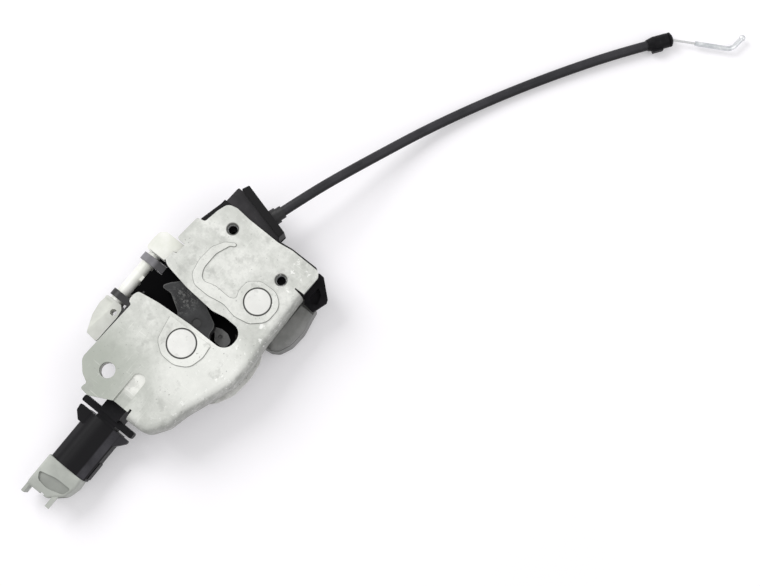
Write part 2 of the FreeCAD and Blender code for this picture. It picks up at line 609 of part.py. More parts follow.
# The cap is the coat's upper skin; it hides the notch from above.
cap = new_body("claw_cap_body")
cap_pad = raise_pad(cap, "cap_sheet", claw_corners(0, False), "dims.claw_low + dims.claw_steel",
                    "dims.coat_skin")
cap_round = soften(cap, "cap_round", cap_pad, "0.5", edge_at(claw_top + val("coat_skin")))
sink(cap, "cap_bore", None, "dims.claw_low + dims.claw_steel + dims.coat_skin", "dims.plate_top",
     [PIVOT + ("7.6",)])
sink(cap, "gate_mark", None, "dims.claw_low + dims.claw_steel + dims.coat_skin", "0.35",
     [(-14.6, -3.7, "2.4")])
finish("claw_cap", cap)
steel_form = doc.addObject("PartDesign::Body", "claw_form")
raise_pad(steel_form, "claw_form_pad", claw_corners(-0.8, True), "dims.claw_low", "dims.claw_steel")
finish("claw_coat", cut("claw_coat", coat, steel_form))

# The pawl is drawn locked into the notch and turned back by its lift to the free pose.
LOCKED = [(-28.9, 13.0, 2), (-31.2, 11.4, 1.5), (-31.6, 9.6, 0.8), (-28.75, 6.1, 0.5), (-31.4, 4.0, 0.5),
          (-35.6, 8.6, 2), (-35.8, 16, 6), (-34.4, 30, 4), (-32.6, 36, 3.4), (-27.2, 36.6, 3.4),
          (-24.8, 31, 4), (-26.6, 19.4, 4), (-12, 19.4, 10), (-5.6, 30.2, 6), (4.5, 31.6, 8),
          (11.8, 26, 7), (11.6, 16, 7), (3, 12.4, 8), (-4, 13.4, 8), (-14, 11.2, 8), (-24, 12, 8)]
free = -val("pawl_lift")
pawl_corners = [turned(c, free) for c in LOCKED]
pawl = new_body("pawl_body")
pawl_pad = raise_pad(pawl, "pawl_sheet", pawl_corners, "dims.pawl_low", "dims.pawl_steel")
sink(pawl, "pawl_bores", None, "dims.pawl_low + dims.pawl_steel", "dims.pawl_steel",
     [PAWL + ("dims.pawl_bore",), PIN_AT + ("dims.pin_radius",)])
finish("pawl", pawl)

# The pawl's pin reaches down to the cable's eye, which slides with it.
pin_spot = ("dims.slot_x + %s" % PIN_AT[0], "dims.slot_y + %s" % PIN_AT[1], "dims.floor_z + 0.3")
finish("pawl_pin", prim("Cylinder", "pawl_pin", pin_spot, Radius="dims.pin_radius",
                        Height="dims.pawl_low + dims.pawl_steel - dims.floor_z - 0.2"))
doc.recompute()
cable_z = val("cable_z")
wire_r = val("wire_radius")
line = Vector(ALONG[0], ALONG[1], 0)
side = Vector(ACROSS[0], ACROSS[1], 0)


def on_line(step, height=None):
    spot = beside(step, 0)
    return at_slot(spot[0], spot[1], cable_z if height is None else height)


def tube(start, direction, radius, length):
    return Part.makeCylinder(radius, length, start, direction)


eye_low = val("floor_z") + 0.5
eye_tall = val("pawl_low") - 0.3 - eye_low
eye = Part.makeCylinder(EYE_RADIUS, eye_tall, on_line(0, eye_low), Vector(0, 0, 1))
strap = Part.makeBox(3.2, 7.5, eye_tall)
strap.translate(Vector(-1.6, 0, 0))
strap.rotate(Vector(0, 0, 0), Vector(0, 0, 1), math.degrees(math.atan2(line.y, line.x)) - 90)
strap.translate(on_line(0, eye_low))
barrel = tube(on_line(5.4), line, 1.25, 6)
room = Part.makeCylinder(val("pin_radius") + 0.75, 5, on_line(0, eye_low - 1), Vector(0, 0, 1))
nipple = eye.fuse(strap).fuse(barrel).cut(room)
nipple = nipple.cut(tube(on_line(9), line, wire_r, 3))
finish("cable_nipple", keep("cable_nipple", nipple.removeSplitter()))
WALL_STEP = 25.3
GLAND_END = WALL_STEP + 5.9
finish("inner_wire", keep("inner_wire", tube(on_line(9), line, wire_r, GLAND_END + 3 - 9)))
bore_r = wire_r + val("wire_room")
gland = tube(on_line(WALL_STEP + 0.02), line, 4.1, 2.8)
gland = gland.fuse(tube(on_line(WALL_STEP + 2.5), line, 3.3, 3.4))
gland = gland.fuse(tube(on_line(WALL_STEP - 1.9), line, 2.2, 2.1))
gland = gland.cut(tube(on_line(WALL_STEP - 4), line, bore_r, 12))
finish("cable_gland", keep("cable_gland", gland.removeSplitter()))

# The release cable lies in a long easy curve, as straight runs joined by tangent arcs.
CABLE = [(-8.6, 96.3, 16.6), (-0.9, 119.3, 10.6), (8.5, 145.1, 5.6), (20.0, 170.4, 3.4),
         (32.8, 194.9, 2.8), (47.2, 219.2, 3.2), (60.9, 240.3, 3.75), (70.0, 252.9, 3.75)]
first = on_line(GLAND_END)
knee = on_line(GLAND_END + 14.4)
stations = [first, knee] + [at_slot(*c) for c in CABLE]
sheath_r = val("sheath_radius")


def cord_wire(spots):
    """Straight runs and tangent arcs; each arc takes 0.45 of the shorter run."""
    pieces = []
    last = spots[0]
    radii = []
    for i in range(1, len(spots) - 1):
        here = spots[i]
        back = spots[i - 1] - here
        ahead = spots[i + 1] - here
        shorter = min(back.Length, ahead.Length)
        turn = math.pi - back.getAngle(ahead)
        radius = 0.45 * shorter / math.tan(turn / 2)
        radii.append(round(radius))
        u = Vector(back).normalize()
        v = Vector(ahead).normalize()
        begin = here + u * (0.45 * shorter)
        end = here + v * (0.45 * shorter)
        middle = here + (u + v).normalize() * (radius / math.cos(turn / 2))
        bulge = middle + (here - middle).normalize() * radius
        pieces.append(Part.LineSegment(last, begin).toShape())
        pieces.append(Part.Arc(begin, bulge, end).toShape())
        last = end
    pieces.append(Part.LineSegment(last, spots[-1]).toShape())
    print("bend radii of the cable", radii)
    print("runs of the cable", [round((b - a).Length, 1) for a, b in zip(spots, spots[1:])])
    return Part.Wire(pieces)


path = cord_wire(stations)
hoop = Part.Wire([Part.Circle(first, line, sheath_r).toShape()])
sheath = path.makePipeShell([hoop], True, False)
print("sheath volume against its length", sheath.Volume / (math.pi * sheath_r ** 2 * path.Length))
sheath = sheath.cut(tube(first - line * 0.1, line, bore_r, 6))
finish("cable_sheath", keep("cable_sheath", sheath))

# Far end: ferrule, wire, crimp and the bent pull hook.
far = stations[-1]
run = Vector(far - stations[-2]).normalize()
level = Vector(run.x, run.y, 0).normalize()
ferrule_r = val("ferrule_radius")
pull = Vector(0.874, 0.486, 0).normalize()
ferrule = Part.makeCone(2.95, ferrule_r, 3.6, far + level * 0.02, level)
ferrule = ferrule.fuse(tube(far + level * 3.6, level, ferrule_r, 7.3))
ferrule = ferrule.fuse(tube(far + level * 10.8, level, ferrule_r - 0.45, 0.9))
ferrule = ferrule.fuse(tube(far + level * 11.6, level, ferrule_r, 0.9))
ferrule = ferrule.fuse(Part.makeCone(ferrule_r, 2.4, 0.9, far + level * 12.5, level))
clip_side = Vector(level.y, -level.x, 0)
lug = Part.makeBox(5.6, 1.9, 3)
lug.translate(Vector(0, 0, -1.5))
lug.rotate(Vector(0, 0, 0), Vector(0, 0, 1), math.degrees(math.atan2(level.y, level.x)))
lug.translate(far + level * 1.6 + clip_side * 4.6)
ferrule = ferrule.fuse(lug)
wire_root = far + level * 10.4 - clip_side * 0.9
ferrule = ferrule.cut(tube(wire_root - pull * 4.4, pull, bore_r, 12))
finish("cable_ferrule", keep("cable_ferrule", ferrule.removeSplitter()))
WIRE_IN = 0.4
WIRE_OUT = 16.3
finish("wire_end", keep("wire_end", tube(wire_root + pull * WIRE_IN, pull, wire_r, WIRE_OUT)))
crimp_at = wire_root + pull * (WIRE_IN + WIRE_OUT - 1.5)
crimp = tube(crimp_at, pull, 1.3, 4.6).cut(tube(crimp_at - pull * 0.1, pull, wire_r, 1.6))
finish("wire_crimp", keep("wire_crimp", crimp))
rod_start = crimp_at + pull * 4.62
bend = rod_start + pull * 14.3
upward = Vector(0.10, 0.995, 0).normalize()
hook_end = bend + upward * 8.4
half_turn = pull.getAngle(upward) / 2
bend_radius = 2.6 / math.tan(half_turn)
inward = (upward - pull).normalize()
bend_middle = bend + inward * (bend_radius / math.cos(half_turn))
hook_path = Part.Wire([
    Part.LineSegment(rod_start, bend - pull * 2.6).toShape(),
    Part.Arc(bend - pull * 2.6, bend_middle - inward * bend_radius, bend + upward * 2.6).toShape(),
    Part.LineSegment(bend + upward * 2.6, hook_end).toShape()])
hook = hook_path.makePipeShell([Part.Wire([Part.Circle(rod_start, pull, 1.3).toShape()])], True, False)
hook = hook.fuse(Part.makeSphere(1.7, hook_end))
finish("pull_hook", keep("pull_hook", hook))

# Spacers and springs on the two rivets.
SPACERS = [("claw_spacer", PIVOT, "dims.claw_shaft", "6.8", "dims.claw_low - 0.1"),
           ("pawl_spacer", PAWL, "dims.pawl_shaft", "5.2", "dims.pawl_low - 0.1")]
for node, spot, shaft, radius, top in SPACERS:
    where = ("dims.slot_x + %s" % spot[0], "dims.slot_y + %s" % spot[1], "dims.floor_z - 2")
    outer = prim("Cylinder", node + "_outer", where, Radius=radius, Height=top + " - dims.floor_z + 2")
    inner = prim("Cylinder", node + "_inner", where, Radius=shaft, Height=top + " - dims.floor_z + 2")
    finish(node, cut(node, outer, inner))


def coil(node, spot, radius, gauge, turns, low, leg):
    """A wound wire spring lying round its rivet, with one straight leg in the floor."""
    pitch = gauge * 2.4
    helix = Part.makeHelix(pitch, pitch * turns, radius)
    start = Vector(radius, 0, 0)
    slope = Vector(0, 2 * math.pi * radius, pitch).normalize()
    loop = Part.Wire([Part.Circle(start, slope, gauge).toShape()])
    wound = Part.Wire(helix.Edges).makePipeShell([loop], True, True)
    wound.rotate(Vector(0, 0, 0), Vector(0, 0, 1), leg)
    wound.translate(at_slot(spot[0], spot[1], low + gauge + 0.05))
    finish(node, keep(node, wound))


coil("claw_spring", PIVOT, 8.7, 0.45, 1.75, val("floor_z") - 2, 200)
coil("pawl_spring", PAWL, 6.7, 0.45, 1.6, val("floor_z") - 2, 20)

STOP = [polar(23, 227.4), polar(30.6, 227.4), polar(30.6, 231.2), polar(23, 231.2)]
stop = new_body("claw_stop_body")
raise_pad(stop, "claw_stop_pad", STOP, "dims.floor_z + 0.05", "7.5")
finish("claw_stop", stop)
SWITCH = [(-19.5, -40, 0.6), (-19.5, -35, 0.6), (-8, -35, 0.6), (-8, -40, 0.6)]
switch = new_body("switch_body_body")
raise_pad(switch, "switch_block", SWITCH, "dims.floor_z + 0.05", "7.5")
bore_spot = ("dims.slot_x - 14", "dims.slot_y - 38.2", "dims.floor_z + 4")
plunger_bore = prim("Cylinder", "plunger_bore", bore_spot, Radius="1.45", Height="4")
plunger_bore.Placement.Rotation = FreeCAD.Rotation(Vector(0, 0, 1), Vector(0, 1, 0))
finish("switch_body", cut("switch_body", switch, plunger_bore))
plunger_spot = at_slot(-14, -36.6, val("floor_z") + 4)
plunger_tip = Part.makeSphere(1.4, plunger_spot + Vector(0, 6.3, 0))
plunger = tube(plunger_spot, Vector(0, 1, 0), 1.4, 6.3).fuse(plunger_tip)
finish("switch_plunger", keep("switch_plunger", plunger.removeSplitter()))

# Screws that hold the rear cover, with a cross recess each.
heads = []
for x, y in SCREWS:
    head = Part.makeCylinder(3.2, 1.64, at_slot(x, y, 0.72), Vector(0, 0, 1))
    bar = Part.makeBox(3.6, 0.8, 1.0, at_slot(x - 1.8, y - 0.4, 0.5))
    bar_two = Part.makeBox(0.8, 3.6, 1.0, at_slot(x - 0.4, y - 1.8, 0.5))
    heads.append(head.cut(bar.fuse(bar_two)))
finish("rear_screws", keep("rear_screws", Part.makeCompound(heads)))

# The lock rod in its two brackets and the guide block beside the slot's mouth.
ROD_AT = at_slot(val("rod_x"), 0, val("rod_z"))
NORTH = Vector(0, 1, 0)
rod_r = val("rod_radius")
ring_r = rod_r + 1.5
room_r = rod_r + val("rod_room")
under_floor = val("floor_z") - 0.2


def bracket(node, y_low, y_high, reach_x):
    spot = at_slot(val("rod_x"), y_low, val("rod_z"))
    thick = y_high - y_low
    eyelet = tube(spot, NORTH, ring_r, thick)
    arm_low = val("base_z") - 1.6
    arm = Part.makeBox(reach_x - val("rod_x"), thick, under_floor - arm_low,
                       Vector(spot.x, spot.y, arm_low))
    shape = eyelet.fuse(arm).cut(tube(spot - NORTH, NORTH, room_r, thick + 2))
    finish(node, keep(node, shape.removeSplitter()))


bracket("bracket_upper", 4.6, 8.6, -45.3)
bracket("bracket_lower", -18.2, -14.6, -45.95)
BLOCK = [(-57.8, 10.2, 1.5), (-57.6, 19.5, 3), (-54.8, 21.9, 2), (-43.6, 21.9, 0.6), (-43.8, 17.2, 0.4),
         (-46.1, 16.2, 0.4), (-46.6, 10.2, 1)]
FOOT = [(-60.6, 10.2, 2), (-60.6, 17.6, 2), (-57, 20.4, 2), (-46, 20, 1), (-46, 10.2, 1)]
block_top = prism("guide_form", BLOCK, 15.9, 10.1).Shape
block_foot = prism("guide_foot", FOOT, 6, 10).Shape
doc.removeObject("guide_form")
doc.removeObject("guide_foot")
block_shape = block_top.fuse(block_foot).cut(tube(ROD_AT + NORTH * 2, NORTH, room_r, 14.6)).removeSplitter()
finish("guide_block", keep("guide_block", block_shape))
slider = tube(ROD_AT - NORTH * 19.5, NORTH, rod_r, 35)
slider = slider.fuse(Part.makeBox(3, 2.8, 2, ROD_AT + Vector(2.4, -4.4, 1.6)))
finish("lock_rod", keep("lock_rod", slider.removeSplitter()))
ARM = [(-51.6, -19.55), (-60.4, -19.55, 1.5), (-61.2, -25, 4), (-60.2, -31.5, 5), (-56.6, -40.2, 2),
       (-49.6, -41, 1.5), (-49.2, -25.5, 2), (-49.8, -21.4, 1.5)]
arm_body = new_body("lock_arm_body")
raise_pad(arm_body, "arm_plate", ARM, "dims.rod_z - dims.rod_radius", "2 * dims.rod_radius")
sink(arm_body, "arm_eye", None, "dims.rod_z + dims.rod_radius", "2 * dims.rod_radius",
     [(-52.2, -24.6, "1.7")])
ARM_WELL = [(-64, -21), (-56, -21, 1), (-54.8, -25.5, 1.5), (-56.4, -37.6, 2), (-55.8, -44), (-64, -44)]
sink(arm_body, "arm_well", ARM_WELL, "dims.rod_z + dims.rod_radius", "1.5")
finish("lock_arm", arm_body)

# The electrical connector below the plate.
PX = val("plug_x")
PH = val("plug_half")
LOW = val("plug_low")
HIGH = val("plug_high")


def brick(x_low, x_high, y_low, y_high, z_low, z_high):
    corner = at_slot(x_low, y_low, z_low)
    return Part.makeBox(x_high - x_low, y_high - y_low, z_high - z_low, corner)


NECK_END = -68.1
mount = brick(-25.2, -14.4, -64.4, -57.1, LOW - 1, 22.5)
mount = mount.fuse(brick(-25.2, -14.4, NECK_END, -62.5, LOW + 0.4, HIGH + 1))
BAR = [(-35.4, -63, 1), (-35.4, -66.4, 1), (-4.8, -66.4, 1), (-4.8, -63, 1)]
bar_form = prism("bar_form", BAR, HIGH - 3.5, 5.5).Shape.copy()
doc.removeObject("bar_form")
mount = mount.fuse(bar_form).removeSplitter()
finish("connector_mount", keep("connector_mount", mount))

# The sleeve has a rounded section, drawn in X and Z, and a thin flange below its neck.
LEFT = PX - PH + 0.2
RIGHT = PX + PH + 0.1
SLEEVE_TOP = NECK_END - 0.02
SLEEVE_END = -96
SECTION = [(LEFT, LOW, 2), (LEFT, HIGH - 5.5, 4), (LEFT + 4.8, HIGH - 0.4, 7), (PX + 0.2, HIGH + 0.5, 14),
           (RIGHT - 4.5, HIGH, 0.4), (RIGHT, HIGH - 3.4, 1.5), (RIGHT, LOW, 2)]
sleeve = prism("sleeve_form", SECTION, 0, SLEEVE_TOP - SLEEVE_END).Shape.copy()
doc.removeObject("sleeve_form")
sleeve.translate(Vector(-EX, -EY, 0))
sleeve.rotate(Vector(0, 0, 0), Vector(1, 0, 0), 90)
sleeve.translate(Vector(EX, EY + SLEEVE_TOP, 0))
sleeve = sleeve.fuse(brick(-10.8, -9.6, -94.6, -84.9, LOW + 2, 13))
FLANGE = [(-35.7, SLEEVE_TOP, 0.8), (-35.2, -71.8, 1), (-31.6, -75.3, 1), (-9.8, -74.6, 1), (-5.9, -70, 1),
          (-5.6, SLEEVE_TOP, 0.8)]
flange = prism("flange_form", FLANGE, LOW + 7.5, 3.5).Shape.copy()
doc.removeObject("flange_form")
sleeve = sleeve.fuse(flange).removeSplitter()
finish("connector_sleeve", keep("connector_sleeve", sleeve))

# The shell takes the plug; its far corner is rounded and its top carries two short tongues.
WALL = val("shell_wall")
SHELL_TOP = HIGH - 0.4
SHELL_LOW = LOW + 0.4
SHELL_START = SLEEVE_END - 0.05
SHELL_RIGHT = PX + PH - 0.6
SHELL = [(LEFT, SHELL_START), (LEFT, -113.2, 2), (-18.4, -113, 3), (-12.1, -107.2, 5),
         (SHELL_RIGHT + 0.4, -101, 5), (SHELL_RIGHT, SHELL_START)]
shell = prism("shell_form", SHELL, SHELL_LOW, SHELL_TOP - SHELL_LOW).Shape.copy()
doc.removeObject("shell_form")
outer_edges = []
for edge in shell.Edges:
    middle = edge.CenterOfMass
    flat = edge.BoundBox.ZLength < 1e-6
    if flat and middle.y < EY + SHELL_START - 0.1:
        outer_edges.append(edge)
shell = shell.makeFillet(1.3, outer_edges)
plug_room = brick(LEFT + WALL, SHELL_RIGHT - WALL, -120, -98, SHELL_LOW + WALL, SHELL_TOP - WALL)
shell = shell.cut(plug_room)
RECESS = [(-29.6, -105, 0.8), (-20.7, -102.7, 20), (-11.9, -102.6, 0.8), (-13.1, -106.8, 2.5),
          (-21.5, -109.4, 14), (-27.6, -108.4, 2.5)]
recess = prism("recess_form", RECESS, SHELL_TOP - 1.1, 3).Shape.copy()
doc.removeObject("recess_form")
shell = shell.cut(recess)
shell = shell.cut(brick(-22.4, -20.4, -114, -112.1, SHELL_TOP - WALL - 0.1, SHELL_TOP + 1))
shell = shell.fuse(brick(LEFT, LEFT + WALL, -117.8, -110, LOW + 3, HIGH - 3))
shell = shell.fuse(brick(-16.7, -14.4, -116.2, -109, SHELL_TOP - WALL, SHELL_TOP - 0.4))
finish("connector_shell", keep("connector_shell", shell.removeSplitter()))
seal = brick(PX - PH + 2.2, PX + PH - 2.6, -99.2, -98.02, LOW + 2.4, HIGH - 2.4)
finish("connector_seal", keep("connector_seal", seal))
blades = []
for step in range(4):
    x = PX - 6.2 + step * 4
    blades.append(brick(x, x + 1.8, -107, -99.22, 10.6, 11.4))
finish("terminal_blades", keep("terminal_blades", Part.makeCompound(blades)))

doc.recompute()
problems = []
for thing in doc.Objects:
    if "Invalid" in thing.State or "Error" in thing.State:
        problems.append("%s is %s" % (thing.Name, thing.State))
for node, thing in parts.items():
    shape = thing.Shape
    if shape.isNull() or not shape.isValid():
        problems.append("%s has no valid shape" % node)
if problems:
    raise RuntimeError("; ".join(problems))
whole = FreeCAD.BoundBox()
CORD = ("cable_gland", "cable_sheath", "cable_ferrule", "wire_end", "wire_crimp", "pull_hook", "inner_wire")
for node, thing in parts.items():
    box = thing.Shape.BoundBox
    if node not in CORD:
        whole.add(box)
    thing.Shape.exportStep("parts/%s.step" % node)
    print("%-18s solids %d volume %8.1f  z %.2f..%.2f" % (node, len(thing.Shape.Solids), thing.Shape.Volume,
                                                       box.ZMin, box.ZMax))
print("box without the cable: x %.3f %.3f y %.3f %.3f z %.3f %.3f" % (
    whole.XMin, whole.XMax, whole.YMin, whole.YMax, whole.ZMin, whole.ZMax))
print(len(parts), "sub-parts written")
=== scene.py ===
# %% [markdown]
# # Tailgate latch
# The latch lies on its back and is seen almost from straight above. Its moving parts come from the
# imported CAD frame; this lesson dresses them with finishes and adds the small details of the real thing.

import math

import bpy
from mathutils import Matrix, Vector


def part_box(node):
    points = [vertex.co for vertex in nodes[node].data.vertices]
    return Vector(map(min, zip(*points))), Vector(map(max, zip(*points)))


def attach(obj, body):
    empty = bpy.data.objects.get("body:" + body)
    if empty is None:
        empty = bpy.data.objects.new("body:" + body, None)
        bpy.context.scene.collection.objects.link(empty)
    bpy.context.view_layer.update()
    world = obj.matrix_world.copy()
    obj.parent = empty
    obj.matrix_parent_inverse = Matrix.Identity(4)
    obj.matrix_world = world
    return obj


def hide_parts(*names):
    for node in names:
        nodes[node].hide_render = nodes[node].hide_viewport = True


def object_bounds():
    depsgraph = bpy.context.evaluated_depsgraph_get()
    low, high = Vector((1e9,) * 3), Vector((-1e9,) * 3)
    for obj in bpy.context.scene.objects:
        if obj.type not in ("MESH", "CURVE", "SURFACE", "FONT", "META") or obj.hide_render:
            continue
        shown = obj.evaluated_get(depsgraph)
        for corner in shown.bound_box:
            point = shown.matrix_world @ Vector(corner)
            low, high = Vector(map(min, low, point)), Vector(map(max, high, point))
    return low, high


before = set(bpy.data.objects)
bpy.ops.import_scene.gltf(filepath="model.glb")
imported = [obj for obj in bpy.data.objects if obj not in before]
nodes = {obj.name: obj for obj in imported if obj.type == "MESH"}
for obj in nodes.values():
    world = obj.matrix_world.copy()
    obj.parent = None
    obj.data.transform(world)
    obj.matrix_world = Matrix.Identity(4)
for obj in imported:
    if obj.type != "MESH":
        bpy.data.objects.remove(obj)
cad_low, cad_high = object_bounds()
MM = 0.001
print("pieces in the frame:", len(nodes))

# %% [markdown]
# Everything is placed from the slot's end, the point where the striker stops. Its two coordinates are
# written out, and the plate's top and the sizes of the rivet heads are read from the frame.

# %% Places that the steps below share
SLOT_END = Vector((17.118, 26.606, 0.0)) * MM
PLATE_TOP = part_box("nut_upper")[1][2] + 2 * MM
SHEATH_RADIUS = 2.5 * MM
CLAW_AXIS = SLOT_END + Vector((-13.1, -15.9, 31)) * MM
PAWL_AXIS = SLOT_END + Vector((2.5, 22.2, 31)) * MM
CLAW_HEAD = (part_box("claw_rivet")[1][0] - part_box("claw_rivet")[0][0]) / 2
PAWL_HEAD = (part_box("pawl_rivet")[1][0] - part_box("pawl_rivet")[0][0]) / 2


def from_slot(x, y, z):
    """A point in millimetres from the slot's end, in the frame's metres."""
    return SLOT_END + Vector((x, y, z)) * MM


print("plate top at %.1f mm" % (PLATE_TOP / MM))

# %% [markdown]
# ## Camera
# The photograph looks down at about 80 degrees, with the latch turned so that its cable runs to the
# upper right. A longish lens keeps the outlines nearly parallel.

# %% Camera
ELEVATION = math.radians(80)
AZIMUTH = math.radians(38.5)
DISTANCE = 0.6587
LENS = 65
AIM = from_slot(45.71, 62.17, 30)
towards_camera = Vector((math.cos(ELEVATION) * math.sin(AZIMUTH), -math.cos(ELEVATION) * math.cos(AZIMUTH),
                         math.sin(ELEVATION)))
camera_data = bpy.data.cameras.new("photo_camera")
camera_data.lens = LENS
camera_data.sensor_width = 36
camera_data.clip_start = 0.02
camera = bpy.data.objects.new("photo_camera", camera_data)
bpy.context.scene.collection.objects.link(camera)
camera.location = AIM + towards_camera * DISTANCE
camera.rotation_euler = (-towards_camera).to_track_quat("-Z", "Y").to_euler()
bpy.context.scene.camera = camera
print("camera at", [round(c, 3) for c in camera.location])

# %% [markdown]
# ## Light
# The photograph was taken in a white tent: light comes from all round, a little more from the upper left,
# and the shadow is soft and falls to the lower right. The world and two large lamps light the latch. To
# the camera and in reflections the tent shows pure white, brighter than the light that it gives.

# %% Lamps and world
SEEN_RAYS = ("Is Camera Ray", "Is Glossy Ray", "Is Transmission Ray")
TENT_LIGHT = 0.62
world = bpy.data.worlds.new("tent")
bpy.context.scene.world = world
world.use_nodes = True
world.node_tree.nodes["Background"].inputs["Color"].default_value = (1.0, 1.0, 1.0, 1.0)
tent = world.node_tree
seen_white = None
for ray in SEEN_RAYS:
    asked = tent.nodes.new("ShaderNodeLightPath").outputs[ray]
    larger = tent.nodes.new("ShaderNodeMath")
    larger.operation = "MAXIMUM"
    larger.inputs[0].default_value = TENT_LIGHT
    if seen_white is not None:
        tent.links.new(seen_white, larger.inputs[0])
    tent.links.new(asked, larger.inputs[1])
    seen_white = larger.outputs[0]
tent.links.new(seen_white, tent.nodes["Background"].inputs["Strength"])


def lamp(name, place, aim, width, power):
    """A square lamp that looks at a point."""
    data = bpy.data.lights.new(name, "AREA")
    data.shape = "SQUARE"
    data.size = width
    data.energy = power
    thing = bpy.data.objects.new(name, data)
    bpy.context.scene.collection.objects.link(thing)
    thing.location = place
    thing.rotation_euler = (Vector(aim) - Vector(place)).to_track_quat("-Z", "Y").to_euler()


right_of_photo = Vector((math.cos(AZIMUTH), math.sin(AZIMUTH), 0))
up_in_photo = Vector((-math.sin(AZIMUTH), math.cos(AZIMUTH), 0))
middle = Vector((0.03, 0.05, 0.0))
lamp("key", middle - right_of_photo * 0.68 + up_in_photo * 0.62 + Vector((0, 0, 0.95)), middle, 0.7, 9.0)
lamp("fill", middle + right_of_photo * 0.9 - up_in_photo * 0.2 + Vector((0, 0, 1.0)), middle, 1.0, 2.5)
bpy.context.scene.view_settings.view_transform = "Standard"
print("tent and two lamps ready")

# %% [markdown]
# ## Finishes as sums
# A finish is a small graph of nodes. The class below wraps one socket, so that a mask can be written
# as a sum, and the recipe class keeps the graph of one material.

# %% A socket that can be written in sums
class Level:
    """One output socket; sums and products on it add Math nodes."""

    def __init__(self, recipe, socket):
        self.recipe = recipe
        self.socket = socket

    def __add__(self, other):
        return self.recipe.maths("ADD", self, other)

    def __sub__(self, other):
        return self.recipe.maths("SUBTRACT", self, other)

    def __rsub__(self, other):
        return self.recipe.maths("SUBTRACT", other, self)

    def __mul__(self, other):
        return self.recipe.maths("MULTIPLY", self, other)

    def between(self, low, high, start=0.0, end=1.0):
        """Runs smoothly from start to end as the value goes from low to high."""
        sizes = {"From Min": low, "From Max": high, "To Min": start, "To Max": end}
        return self.recipe.node("ShaderNodeMapRange", {"interpolation_type": "SMOOTHSTEP"},
                                dict(sizes, Value=self))

    __radd__ = __add__
    __rmul__ = __mul__


class Recipe:
    """The graph of one finish."""

    def __init__(self, name):
        self.material = bpy.data.materials.new(name)
        self.material.use_nodes = True
        self.tree = self.material.node_tree
        self.shader = self.tree.nodes["Principled BSDF"]
        self.place = self.node("ShaderNodeTexCoord", output="Object")

    def node(self, kind, settings=None, sockets=None, output=0):
        """A new node with its settings and the values or links of its sockets."""
        made = self.tree.nodes.new(kind)
        for key, value in (settings or {}).items():
            setattr(made, key, value)
        for key, value in (sockets or {}).items():
            self.feed(made.inputs[key], value)
        return Level(self, made.outputs[output])

    def feed(self, socket, value):
        """Links a level to a socket, or sets a plain value."""
        if isinstance(value, Level):
            self.tree.links.new(value.socket, socket)
        elif hasattr(socket.default_value, "__len__") and len(socket.default_value) == 4:
            socket.default_value = tuple(value) + (1.0,) * (4 - len(value))
        else:
            socket.default_value = value

    def maths(self, operation, first, second):
        return self.node("ShaderNodeMath", {"operation": operation}, {0: first, 1: second})

    def vectors(self, operation, first, second, output=0):
        return self.node("ShaderNodeVectorMath", {"operation": operation}, {0: first, 1: second}, output)

    def mix(self, amount, first, second):
        return self.node("ShaderNodeMix", {"data_type": "RGBA"}, {0: amount, 6: first, 7: second}, 2)

    def stretched(self, scale, turn):
        """The object's coordinates, turned about Z and stretched."""
        sizes = {"Vector": self.place, "Rotation": (0, 0, turn), "Scale": scale}
        return self.node("ShaderNodeMapping", None, sizes)

    def noise(self, scale, detail=3.0, roughness=0.55, vector=None, distortion=0.0):
        sizes = {"Vector": vector or self.place, "Scale": scale, "Detail": detail,
                 "Roughness": roughness, "Distortion": distortion}
        return self.node("ShaderNodeTexNoise", None, sizes, "Fac")

    def across(self, axis, vector=None):
        """One coordinate of the place, in metres, or of another vector."""
        return self.node("ShaderNodeSeparateXYZ", None, {0: vector or self.place}, axis)

    def far_from(self, centre):
        """The distance from a point, in metres."""
        return self.vectors("DISTANCE", self.place, tuple(centre), "Value")

    def around(self, centre):
        """The level distance from an upright axis through a point, in metres."""
        shifted = self.vectors("SUBTRACT", self.place, tuple(centre))
        level = self.vectors("MULTIPLY", shifted, (1, 1, 0))
        return self.node("ShaderNodeVectorMath", {"operation": "LENGTH"}, {0: level}, "Value")

    def bump(self, height, distance, strength):
        """A normal that is tilted by the slopes of a height."""
        sockets = {"Height": height, "Distance": distance, "Strength": strength}
        return self.node("ShaderNodeBump", None, sockets, "Normal")

    def finish(self, colour, roughness, metallic=0.0, normal=None, **constants):
        """Feeds the shader and gives the material back."""
        self.feed(self.shader.inputs["Base Color"], colour)
        self.feed(self.shader.inputs["Roughness"], roughness)
        self.feed(self.shader.inputs["Metallic"], metallic)
        if normal is not None:
            self.feed(self.shader.inputs["Normal"], normal)
        for key, value in constants.items():
            self.shader.inputs[key.replace("_", " ")].default_value = value
        return self.material


print("recipe class ready")

# %% [markdown]
# ## Zinc plate
# The cover is pressed steel under a dull zinc coat. It looks pale grey with clouds, small dark specks,
# fine scratches from handling, and it turns darker and greener towards its lower left corner.

